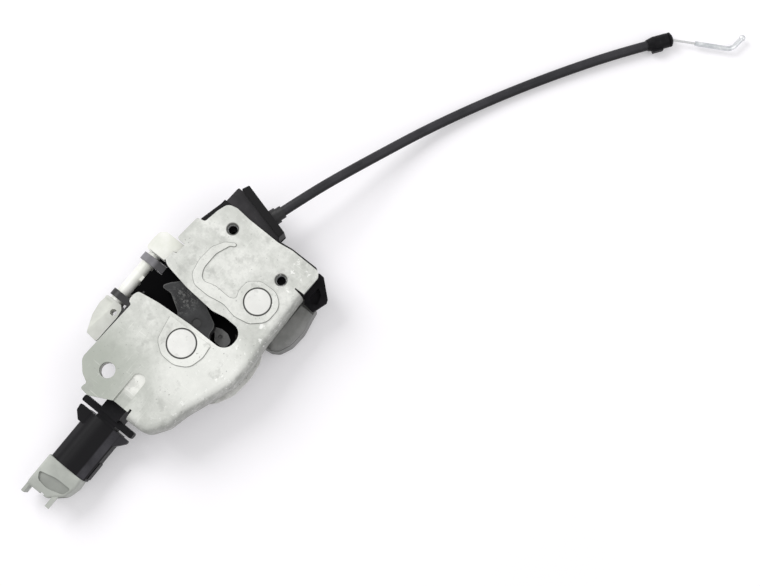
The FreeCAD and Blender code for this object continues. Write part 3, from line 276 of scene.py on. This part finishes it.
# %% Zinc finishes
def zinc_sheet(name, light, dark, cover=True):
    recipe = Recipe(name)
    clouds = recipe.noise(55, 5, 0.62, distortion=0.4)
    blots = recipe.noise(140, 4, 0.6)
    mottle = recipe.noise(420, 4, 0.7)
    grain = recipe.noise(1500, 2, 0.7)
    colour = recipe.mix(clouds.between(0.34, 0.68), dark, light)
    colour = recipe.mix(mottle.between(0.42, 0.62) * 0.26, colour, tuple(c * 0.76 for c in dark))
    if cover:
        colour = dress_cover(recipe, colour, dark)
    stain = blots.between(0.57, 0.70) * 0.34
    colour = recipe.mix(stain, colour, tuple(c * 0.66 for c in dark))
    specks = recipe.noise(900, 2, 0.5).between(0.68, 0.74) * 0.5
    colour = recipe.mix(specks, colour, (0.12, 0.12, 0.115))
    scratch_a = recipe.noise(1.0, 3, 0.5, recipe.stretched((1800, 90, 400), 0.7))
    scratch_b = recipe.noise(1.0, 3, 0.5, recipe.stretched((70, 1500, 400), 0.35))
    lines = scratch_a.between(0.64, 0.71) * 0.5 + scratch_b.between(0.65, 0.72) * 0.5
    colour = recipe.mix(lines * 0.45, colour, tuple(min(1.0, c * 1.25) for c in light))
    rough = 0.50 + clouds * 0.16 - lines * 0.12 + stain * 0.2
    height = clouds * 0.5 + grain * 0.12 - lines * 0.25
    return recipe.finish(colour, rough, 0.25, recipe.bump(height, 0.00012, 0.55), Specular_IOR_Level=0.45)


PAD_RISE = 0.5 * MM
THREADED_HOLES = ((-29.7, 42.4), (4.5, 37.5))
HOLE_MOUTH = 2.9 * MM
GROOVE_FLOOR = PLATE_TOP - 0.72 * MM
RIM_FOOT = PLATE_TOP - 1.6 * MM


def dress_cover(recipe, colour, dark):
    """The marks and painted light and shade that only the cover plate has, placed by height or by distance.
    """
    high = recipe.across("Z")
    # The tops of the raised pads are paler
    pads = high.between(PLATE_TOP + 0.2 * MM, PLATE_TOP + 0.45 * MM)
    colour = recipe.mix(pads * 0.34, colour, (0.72, 0.725, 0.69))
    # The lower left corner is darker and greener, and a patch below the slot's end is painted paler as
    # painted light
    corner = recipe.around(from_slot(-42, -58, 0)).between(0.012, 0.046)
    deep = tuple(c * tint for c, tint in zip(dark, (0.64, 0.67, 0.63)))
    colour = recipe.mix(corner * 0.85 + 0.15, deep, colour)
    painted_light_patch = recipe.around(from_slot(4, -19, 0)).between(0.012, 0.030, 0.55, 0.0)
    colour = recipe.mix(painted_light_patch, colour, (0.84, 0.845, 0.81))
    # Painted shade: a dark line runs round each pad on its slope, but not where the slope meets the slot
    pad_foot = high.between(PLATE_TOP + 0.02 * MM, PLATE_TOP + 0.03 * MM)
    pad_brow = high.between(PLATE_TOP + PAD_RISE - 0.015 * MM, PLATE_TOP + PAD_RISE - 0.002 * MM, 1.0, 0.0)
    by_slot = recipe.across("Y").between(SLOT_END.y - 9.4 * MM, SLOT_END.y - 9.1 * MM)
    by_slot = by_slot * recipe.across("Y").between(SLOT_END.y - 7.6 * MM, SLOT_END.y - 7.3 * MM, 1.0, 0.0)
    colour = recipe.mix(pad_foot * pad_brow * (1 - by_slot) * 0.85, colour, (0.16, 0.165, 0.155))
    # The mouths of the threaded holes are painted dark, as painted shade in the holes
    for x, y in THREADED_HOLES:
        mouth = recipe.around(from_slot(x, y, 0)).between(HOLE_MOUTH, HOLE_MOUTH + 0.4 * MM, 1.0, 0.0)
        colour = recipe.mix(mouth * 0.9, colour, (0.03, 0.03, 0.03))
    # The floor of the groove is bright at its end
    groove_end = recipe.far_from(from_slot(-17.8, -41.5, 29)).between(0.0055, 0.0115, 1.0, 0.0)
    sunk = high.between(GROOVE_FLOOR, PLATE_TOP - 0.2 * MM, 1.0, 0.0)
    colour = recipe.mix(groove_end * sunk * 0.9, colour, (0.88, 0.88, 0.84))
    # Painted shade: the rolled rim is painted darker where it turns down, unevenly
    rolled = high.between(RIM_FOOT, PLATE_TOP - 0.08 * MM, 1.0, 0.0)
    wear_and_shade_patch = recipe.noise(260, 4, 0.7).between(0.35, 0.62)
    colour = recipe.mix(rolled * (0.55 + wear_and_shade_patch * 0.4) * 0.8, colour, tuple(c * 0.50 for c in dark))
    # Painted shade: a dark seam runs round each rivet head, in the gap between head and plate
    for axis, head in ((CLAW_AXIS, CLAW_HEAD), (PAWL_AXIS, PAWL_HEAD)):
        seam = recipe.around(axis).between(head + 0.3 * MM, head + 0.62 * MM, 1.0, 0.0)
        colour = recipe.mix(seam * 0.9, colour, (0.055, 0.055, 0.052))
    # The coat is chipped at the right
    near_rim = recipe.across("X").between(SLOT_END.x - 6 * MM, SLOT_END.x + 9 * MM)
    chips = recipe.noise(330, 4, 0.75).between(0.60, 0.66) * near_rim
    return recipe.mix(chips * 0.7, colour, (0.93, 0.93, 0.91))


ZINC = zinc_sheet("zinc_plate", (0.72, 0.725, 0.692), (0.535, 0.545, 0.512))
ZINC_DARK = zinc_sheet("zinc_back", (0.80, 0.80, 0.775), (0.68, 0.68, 0.655), cover=False)
print("zinc finishes made")


# %% [markdown]
# A rivet's head was spun flat by the riveting tool, so it is smoother than the sheet and shows faint
# rings about its own middle.

# %% Rivet finish
def spun_steel(name, axis, head):
    recipe = Recipe(name)
    light = (0.79, 0.79, 0.765)
    dark = (0.69, 0.69, 0.665)
    radius = recipe.around(axis)
    rings = recipe.node("ShaderNodeTexNoise", {"noise_dimensions": "1D"},
                        {"W": radius * 2600.0, "Scale": 1.0, "Detail": 2.0}, "Fac")
    clouds = recipe.noise(110, 4, 0.6)
    colour = recipe.mix(clouds.between(0.35, 0.68) * 0.7 + rings * 0.2, dark, light)
    dents = recipe.noise(340, 3, 0.6).between(0.60, 0.70) * 0.25
    colour = recipe.mix(dents, colour, (0.42, 0.42, 0.40))
    # Painted shade: the head's rim, where it turns down, is painted nearly black
    edge = radius.between(head - 0.5 * MM, head - 0.18 * MM)
    colour = recipe.mix(edge * 0.85, colour, (0.07, 0.07, 0.068))
    height = rings * 0.5 + recipe.noise(1400, 2) * 0.3
    return recipe.finish(colour, 0.44 + clouds * 0.14, 0.2, recipe.bump(height, 0.00005, 0.5))


def bright_zinc(name):
    recipe = Recipe(name)
    clouds = recipe.noise(260, 4, 0.6)
    colour = recipe.mix(clouds.between(0.3, 0.7), (0.50, 0.52, 0.54), (0.74, 0.75, 0.76))
    return recipe.finish(colour, 0.24 + clouds * 0.2, 0.85, recipe.bump(clouds, 0.00008, 0.4))


def drawn_wire(name):
    recipe = Recipe(name)
    strands = recipe.noise(1.0, 2, 0.5, recipe.stretched((900, 900, 900), 0.5))
    colour = recipe.mix(strands, (0.42, 0.43, 0.44), (0.70, 0.70, 0.69))
    return recipe.finish(colour, 0.30, 0.9, recipe.bump(strands, 0.0001, 0.5))


def tinned(name):
    recipe = Recipe(name)
    clouds = recipe.noise(400, 3)
    return recipe.finish(recipe.mix(clouds, (0.62, 0.52, 0.32), (0.80, 0.76, 0.62)), 0.3, 0.9)


BRIGHT = bright_zinc("bright_zinc_finish")
WIRE = drawn_wire("drawn_wire_finish")
CONTACT = tinned("tinned_contact")
print("rivets and wires ready")


# %% [markdown]
# ## Moulded plastic
# All black pieces are glass-filled nylon: nearly black, satin, with a fine spark-eroded grain and a
# little pale dust. The same recipe in other colours gives the drive's grey cover and the connector.

# %% Plastics
def moulded(name, light, dark, rough=0.38, grain=0.5, dust=0.0, dust_colour=(0.35, 0.35, 0.34), shade=None,
            **constants):
    """A moulding's finish; shade takes the recipe and gives a mask of where it is painted nearly black, for
    pieces that carry painted light and shade.
    """
    recipe = Recipe(name)
    clouds = recipe.noise(70, 4, 0.6)
    fine = recipe.noise(2300, 2, 0.6)
    rub = recipe.noise(1.0, 3, 0.5, recipe.stretched((120, 1500, 600), 0.9)).between(0.66, 0.74)
    colour = recipe.mix(clouds.between(0.32, 0.68), dark, light)
    if dust > 0:
        powder = recipe.noise(420, 4, 0.7).between(0.52, 0.74)
        colour = recipe.mix(powder * dust, colour, dust_colour)
    colour = recipe.mix(rub * 0.10, colour, tuple(min(1.0, c * 1.6 + 0.02) for c in light))
    if shade:
        colour = recipe.mix(shade(recipe), colour, tuple(c * 0.3 for c in dark))
    height = fine * grain + clouds * 0.3
    roughness = rough + clouds * 0.14 - rub * 0.08
    return recipe.finish(colour, roughness, 0.0, recipe.bump(height, 0.00006, 0.6), **constants)


BLACK = moulded("black_moulding", (0.019, 0.018, 0.020), (0.010, 0.010, 0.011), 0.38, 0.5, 0.03,
                Specular_IOR_Level=0.36)
# A darker, duller copy of the black moulding, as painted shade for a piece deep in the housing
BLACK_DEEP = moulded("chamber_black_painted_shade", (0.004, 0.004, 0.005), (0.002, 0.002, 0.003), 0.6, 0.5, 0.01,
                     Specular_IOR_Level=0.06)
SATIN_DARK = moulded("satin_dark", (0.0095, 0.009, 0.0105), (0.005, 0.005, 0.006), 0.34, 0.35, 0.02,
                     Specular_IOR_Level=0.09)


def in_chamber(recipe):
    """The housing's floor left of the slot's end, painted darker as painted shade, because the photograph
    shows it so.
    """
    return recipe.across("X").between(SLOT_END.x + 8 * MM, SLOT_END.x + 12 * MM, 1.0, 0.0)


def on_wall_bar(recipe):
    """The bar of the cable wall, which stands higher than its ledge and is painted darker than the painted
    sheen on the rest of the wall.
    """
    return recipe.across("Z").between(PLATE_TOP - 4 * MM, PLATE_TOP - 3.2 * MM) * 0.95


def off_the_top(recipe):
    """The sides of a round sheath, painted darker than its top, as painted shade."""
    upwards = recipe.node("ShaderNodeNewGeometry", output="Normal")
    return recipe.across("Z", upwards).between(0.35, 0.97, 1.0, 0.0)


def left_of_facet(recipe):
    """All of the connector's sleeve but its right shoulder, which the photograph shows paler: the shoulder
    keeps a painted highlight and the rest is painted dark.
    """
    edge = SLOT_END.x - 14.6 * MM
    foot = 14.7 * MM
    shoulder = recipe.across("X").between(edge, edge + 0.9 * MM)
    return 1 - shoulder * recipe.across("Z").between(foot, foot + 0.6 * MM)


def inner_end(recipe):
    """The end of a bracket towards the slot's mouth, painted darker because the photograph shows it so; the
    rest of the black bracket is painted pale grey as painted light.
    """
    return recipe.across("X").between(SLOT_END.x - 52.5 * MM, SLOT_END.x - 49.5 * MM)


def in_recess(recipe):
    """The floor of the finger recess in the connector's shell, painted darker as painted shade."""
    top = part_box("connector_shell")[1][2]
    high = recipe.across("Z")
    floor = high.between(top - 1.35 * MM, top - 1.2 * MM)
    floor = floor * high.between(top - 1.0 * MM, top - 0.85 * MM, 1.0, 0.0)
    return floor * recipe.around(from_slot(-20.8, -105.4, 0)).between(0.0098, 0.0104, 1.0, 0.0) * 0.42


FLOOR = moulded("floor_black", (0.019, 0.018, 0.020), (0.008, 0.008, 0.009), 0.55, 0.5, 0.01,
                shade=in_chamber, Specular_IOR_Level=0.02)
# A paler copy of the black moulding, as painted sheen on the cable wall; its bar is painted darker
WALL = moulded("wall_black_painted_sheen", (0.050, 0.047, 0.051), (0.030, 0.029, 0.031), 0.40, 0.5, 0.03, shade=on_wall_bar,
               Specular_IOR_Level=0.10)
# The upper bracket is black; its pale grey is painted light on its lit face
BRACKET = moulded("bracket_painted_light", (0.27, 0.265, 0.28), (0.20, 0.195, 0.21), 0.40, 0.5, 0.03, shade=inner_end,
                  Specular_IOR_Level=0.25)
# The sleeve's paler colour is a painted highlight that shows only on its right shoulder
SLEEVE = moulded("sleeve_black", (0.062, 0.060, 0.068), (0.030, 0.029, 0.033), 0.34, 0.35, 0.02,
                 shade=left_of_facet, Specular_IOR_Level=0.09)
GREY = moulded("drive_grey", (0.235, 0.235, 0.228), (0.155, 0.157, 0.15), 0.46, 0.6, 0.12)
SOFT = moulded("buffer_rubber", (0.30, 0.30, 0.295), (0.17, 0.17, 0.168), 0.62, 0.8, 0.25)
SHELL = moulded("connector_shell_finish", (0.48, 0.50, 0.46), (0.37, 0.385, 0.355), 0.42, 0.5, 0.10,
                shade=in_recess)
WHITE = moulded("white_acetal", (0.90, 0.90, 0.86), (0.76, 0.77, 0.70), 0.34, 0.4, 0.10, (0.60, 0.59, 0.53))
# A greyer copy of the white acetal, as painted shade on the lock arm
WHITE_SHADED = moulded("shaded_acetal", (0.72, 0.73, 0.68), (0.60, 0.61, 0.56), 0.42, 0.4, 0.12,
                     (0.45, 0.44, 0.40))
SHEATH = moulded("sheath_black", (0.034, 0.033, 0.038), (0.020, 0.020, 0.023), 0.36, 0.7, 0.03,
                 shade=off_the_top, Specular_IOR_Level=0.20)
print("plastics ready")


# %% [markdown]
# ## Claw
# The claw's coat is dark grey and worn: the striker has rubbed a rough pale patch near its tip, and
# old grease has gathered dust there.

# %% Claw's coat
def claw_coat_finish():
    recipe = Recipe("claw_coat_finish")
    clouds = recipe.noise(120, 4, 0.6)
    fine = recipe.noise(1700, 2, 0.6)
    colour = recipe.mix(clouds.between(0.3, 0.7), (0.010, 0.0103, 0.011), (0.029, 0.0295, 0.031))
    wear_and_shade_patch = recipe.far_from(from_slot(-27.2, 1.2, 26)).between(0.0030, 0.0095, 1.0, 0.0)
    crumbs = recipe.noise(480, 5, 0.75).between(0.47, 0.60)
    colour = recipe.mix(wear_and_shade_patch * crumbs * 0.6, colour, (0.20, 0.20, 0.195))
    # Painted highlight: a pale line runs along the top edge of the cap
    cap_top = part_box("claw_cap")[1][2]
    brow = recipe.across("Z").between(cap_top - 0.45 * MM, cap_top - 0.05 * MM)
    edge = brow * recipe.across("Z").between(cap_top - 0.03 * MM, cap_top - 0.01 * MM, 1.0, 0.0)
    colour = recipe.mix(edge * 0.5, colour, (0.19, 0.19, 0.185))
    gate = recipe.around(from_slot(-14.6, -3.7, 26))
    ring = gate.between(0.0017, 0.0021) * gate.between(0.0025, 0.0029, 1.0, 0.0)
    colour = recipe.mix(ring * 0.6, colour, (0.004, 0.004, 0.004))
    height = clouds * 0.3 + fine * 0.3 + wear_and_shade_patch * crumbs * 1.4
    return recipe.finish(colour, 0.40 + wear_and_shade_patch * 0.25, 0.0, recipe.bump(height, 0.00018, 0.7),
                         Specular_IOR_Level=0.32)


def dark_steel(name):
    recipe = Recipe(name)
    clouds = recipe.noise(160, 4, 0.6)
    colour = recipe.mix(clouds, (0.055, 0.055, 0.057), (0.12, 0.12, 0.12))
    return recipe.finish(colour, 0.38 + clouds * 0.15, 0.8, recipe.bump(clouds, 0.00008, 0.5))


CLAW_COAT = claw_coat_finish()
DARK_STEEL = dark_steel("phosphated_steel")
print("claw finishes ready")

# %% [markdown]
# ## Dressing the frame
# Each CAD node gets its finish by name. The nodes keep their shapes, so the joints move them as they
# are; only the cable's sheath is drawn again below, as one smooth curve.

# %% Hand out the finishes
dress = {
    "cover_plate": ZINC, "back_plate": ZINC_DARK, "nut_upper": ZINC_DARK, "nut_right": ZINC_DARK,
    "mount_bush": ZINC_DARK, "housing": FLOOR, "claw_frame": BLACK, "pawl_frame": WALL, "rear_cover": BLACK,
    "actuator_cover": GREY,
    "claw_rivet": spun_steel("claw_rivet_face", CLAW_AXIS, CLAW_HEAD),
    "pawl_rivet": spun_steel("pawl_rivet_face", PAWL_AXIS, PAWL_HEAD),
    "striker_buffer": SOFT, "claw": DARK_STEEL, "claw_coat": CLAW_COAT, "claw_cap": CLAW_COAT,
    "pawl": DARK_STEEL, "pawl_pin": BRIGHT, "cable_nipple": BRIGHT, "inner_wire": WIRE,
    "wire_end": WIRE, "wire_crimp": BRIGHT, "pull_hook": BRIGHT,
    "cable_gland": BLACK, "cable_sheath": SHEATH, "cable_ferrule": SATIN_DARK,
    "claw_spacer": ZINC_DARK, "pawl_spacer": ZINC_DARK, "claw_spring": WIRE, "pawl_spring": WIRE,
    "claw_stop": SOFT, "switch_body": BLACK_DEEP, "switch_plunger": WHITE, "rear_screws": BRIGHT,
    "bracket_upper": BRACKET, "bracket_lower": BLACK, "guide_block": WHITE, "lock_rod": WHITE,
    "lock_arm": WHITE_SHADED, "connector_mount": SATIN_DARK, "connector_sleeve": SLEEVE,
    "connector_shell": SHELL, "connector_seal": SOFT, "terminal_blades": CONTACT,
}
for name, thing in nodes.items():
    thing.data.materials.clear()
    thing.data.materials.append(dress[name])
print("finishes given to", len(dress), "nodes")

# %% [markdown]
# ## Threads
# Each nut behind the plate has a real thread. It could be cut into the nut, but the nut must keep its CAD
# shape, so the thread is a ridge of its own: a small triangle, wound upwards by a screw modifier.

# %% Thread ridges
def model_done(name, finish, body):
    """Freezes the active object's place, names and dresses it, and hangs it on a body."""
    thing = bpy.context.object
    bpy.ops.object.transform_apply(location=True, rotation=True, scale=True)
    thing.name = name
    thing.data.name = name
    thing.data.materials.clear()
    thing.data.materials.append(finish)
    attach(thing, body)
    return thing


THREAD_RADIUS = 2.45 * MM
RIDGE_SIZE = 0.42 * MM
PITCH = 0.8 * MM
TURNS = 3
STEPS = 40
SMOOTH_ANGLE = math.radians(40)


def thread_ridge(name, nut):
    low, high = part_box(nut)
    centre = (Vector(low) + Vector(high)) / 2
    bpy.ops.object.select_all(action="DESELECT")
    bpy.ops.mesh.primitive_circle_add(vertices=3, radius=RIDGE_SIZE, location=(0, 0, 0))
    ridge = bpy.context.object
    bpy.ops.object.mode_set(mode="EDIT")
    bpy.ops.mesh.select_all(action="SELECT")
    bpy.ops.transform.rotate(value=math.pi / 2, orient_axis="X", center_override=(0, 0, 0))
    bpy.ops.transform.rotate(value=math.pi / 2, orient_axis="Y", center_override=(0, 0, 0))
    bpy.ops.transform.translate(value=(THREAD_RADIUS, 0, 0))
    bpy.ops.object.mode_set(mode="OBJECT")
    screw = ridge.modifiers.new("wind", "SCREW")
    screw.screw_offset = PITCH
    screw.iterations = TURNS
    screw.steps = STEPS
    screw.render_steps = STEPS
    bpy.ops.object.modifier_apply(modifier="wind")
    bpy.ops.object.shade_smooth_by_angle(angle=SMOOTH_ANGLE)
    ridge.location = (centre.x, centre.y, low[2] + 0.3 * MM)
    return model_done(name, BRIGHT, "latch_frame")


for nut in ("nut_upper", "nut_right"):
    made = thread_ridge(nut + "_thread", nut)
    print(made.name, len(made.data.vertices), "vertices")

# %% [markdown]
# ## Side ledge
# Between the lock arm and the plate a narrow black edge of the housing shows. It could be part of the
# housing's own mesh, but the housing keeps its CAD shape, so the ledge is a piece of its own at its side.
# It is a box whose top is inset and sunk, so that a thin wall runs round it, with its edges bevelled.

# %% Ledge beside the lock arm
ledge_low = from_slot(-48.7, -37.0, 0)
ledge_high = from_slot(-45.6, -14.3, 0)
LEDGE_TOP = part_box("housing")[0][2] + 1.5 * MM
LEDGE_FOOT = LEDGE_TOP - 7 * MM
LEDGE_WALL = 0.7 * MM
LEDGE_SINK = 1.5 * MM
LEDGE_EDGE = 0.2 * MM
bpy.ops.object.select_all(action="DESELECT")
ledge_middle = ((ledge_low.x + ledge_high.x) / 2, (ledge_low.y + ledge_high.y) / 2,
                (LEDGE_TOP + LEDGE_FOOT) / 2)
bpy.ops.mesh.primitive_cube_add(size=1.0, location=ledge_middle)
ledge = bpy.context.object
ledge.scale = (ledge_high.x - ledge_low.x, ledge_high.y - ledge_low.y, LEDGE_TOP - LEDGE_FOOT)
bpy.ops.object.transform_apply(location=True, rotation=True, scale=True)
for face in ledge.data.polygons:
    face.select = face.normal.z > 0.9
bpy.ops.object.mode_set(mode="EDIT")
bpy.ops.mesh.select_mode(type="FACE")
bpy.ops.mesh.inset(thickness=LEDGE_WALL)
bpy.ops.transform.translate(value=(0, 0, -LEDGE_SINK))
bpy.ops.object.mode_set(mode="OBJECT")
rounding = ledge.modifiers.new("rounding", "BEVEL")
rounding.width = LEDGE_EDGE
rounding.segments = 2
rounding.limit_method = "ANGLE"
bpy.ops.object.modifier_apply(modifier="rounding")
bpy.ops.object.shade_smooth_by_angle(angle=SMOOTH_ANGLE)
model_done("side_ledge", BLACK, "latch_frame")
print("ledge top at %.1f mm" % (LEDGE_TOP / MM))

# %% [markdown]
# ## Release cable
# The cable's sheath is a stiff black tube. It leaves the wall level, sinks to the table and lies there in
# one long easy curve. Its centre line is a NURBS spline on the same points as the CAD's route. They are in
# millimetres from the slot's end: two on the wire's straight line from the pawl's pin, then a list.

# %% Sheath
PIN_AT = Vector((-27.7, 36, 0))
ALONG = Vector((0.30184, 0.95336, 0))
GLAND_END = 31.2
LEVEL_RUN = 14.4
CABLE_Z = 19.5
first = PIN_AT + ALONG * GLAND_END + Vector((0, 0, CABLE_Z))
knee = PIN_AT + ALONG * (GLAND_END + LEVEL_RUN) + Vector((0, 0, CABLE_Z))
CABLE = [(-8.6, 96.3, 16.6), (-0.9, 119.3, 10.6), (8.5, 145.1, 5.6), (20.0, 170.4, 3.4),
         (32.8, 194.9, 2.8), (47.2, 219.2, 3.2), (60.9, 240.3, 3.75), (70.0, 252.9, 3.75)]
route = [from_slot(*first), from_slot(*knee)] + [from_slot(*point) for point in CABLE]


def nurbs_line(name, points, radius):
    """A round cord on one smooth spline through the space of the given points."""
    data = bpy.data.curves.new(name, "CURVE")
    data.dimensions = "3D"
    data.bevel_depth = radius
    data.bevel_resolution = 8
    data.resolution_u = 24
    data.use_fill_caps = True
    spline = data.splines.new("NURBS")
    spline.points.add(len(points) - 1)
    for control, point in zip(spline.points, points):
        control.co = tuple(point) + (1.0,)
    spline.order_u = 3
    spline.use_endpoint_u = True
    thing = bpy.data.objects.new(name, data)
    bpy.context.scene.collection.objects.link(thing)
    return thing


def curve_length(thing):
    """The length of a curve's centre line, measured on a copy with no bevel."""
    data = thing.data.copy()
    data.bevel_depth = 0
    plain = bpy.data.objects.new("measure", data)
    mesh = bpy.data.meshes.new_from_object(plain)
    spots = [v.co for v in mesh.vertices]
    total = sum((b - a).length for a, b in zip(spots, spots[1:]))
    bpy.data.objects.remove(plain)
    bpy.data.meshes.remove(mesh)
    bpy.data.curves.remove(data)
    return total


sheath = nurbs_line("release_sheath", route, SHEATH_RADIUS)
sheath.data.materials.append(SHEATH)
sheath_length = curve_length(sheath)
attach(sheath, "latch_frame")
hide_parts("cable_sheath")
print("sheath length %.1f mm" % (sheath_length / MM))

# %% [markdown]
# ## Table
# The table is a white sheet. To the camera and in reflections it also glows a little, and more so far
# away, so that it stays white to the horizon. Near the latch most of its brightness is light that falls
# on it, so it still takes the shadow.

# %% White table
NEAR_LATCH = 0.16
FAR_FROM_LATCH = 0.90
GLOW_BY_LATCH = 0.225
TABLE_WIDTH = 6.0
TABLE_DROP = 0.1 * MM
recipe = Recipe("white_table")
seen = 0.0
for ray in SEEN_RAYS:
    seen = recipe.maths("MAXIMUM", seen, recipe.node("ShaderNodeLightPath", output=ray))
far_off = recipe.far_from(middle).between(NEAR_LATCH, FAR_FROM_LATCH, GLOW_BY_LATCH, 1.0)
glow = recipe.node("ShaderNodeEmission", None, {"Color": (1.0, 1.0, 1.0), "Strength": seen * far_off})
paper = recipe.node("ShaderNodeBsdfDiffuse", None, {"Color": (0.80, 0.785, 0.815)})
both = recipe.node("ShaderNodeAddShader", None, {0: glow, 1: paper})
recipe.tree.links.new(both.socket, recipe.tree.nodes["Material Output"].inputs["Surface"])
bpy.ops.object.select_all(action="DESELECT")
bpy.ops.mesh.primitive_plane_add(size=TABLE_WIDTH, location=(0, 0, cad_low[2] - TABLE_DROP))
table = bpy.context.object
table.name = "table_top"
table.data.materials.append(recipe.material)
print("table made")
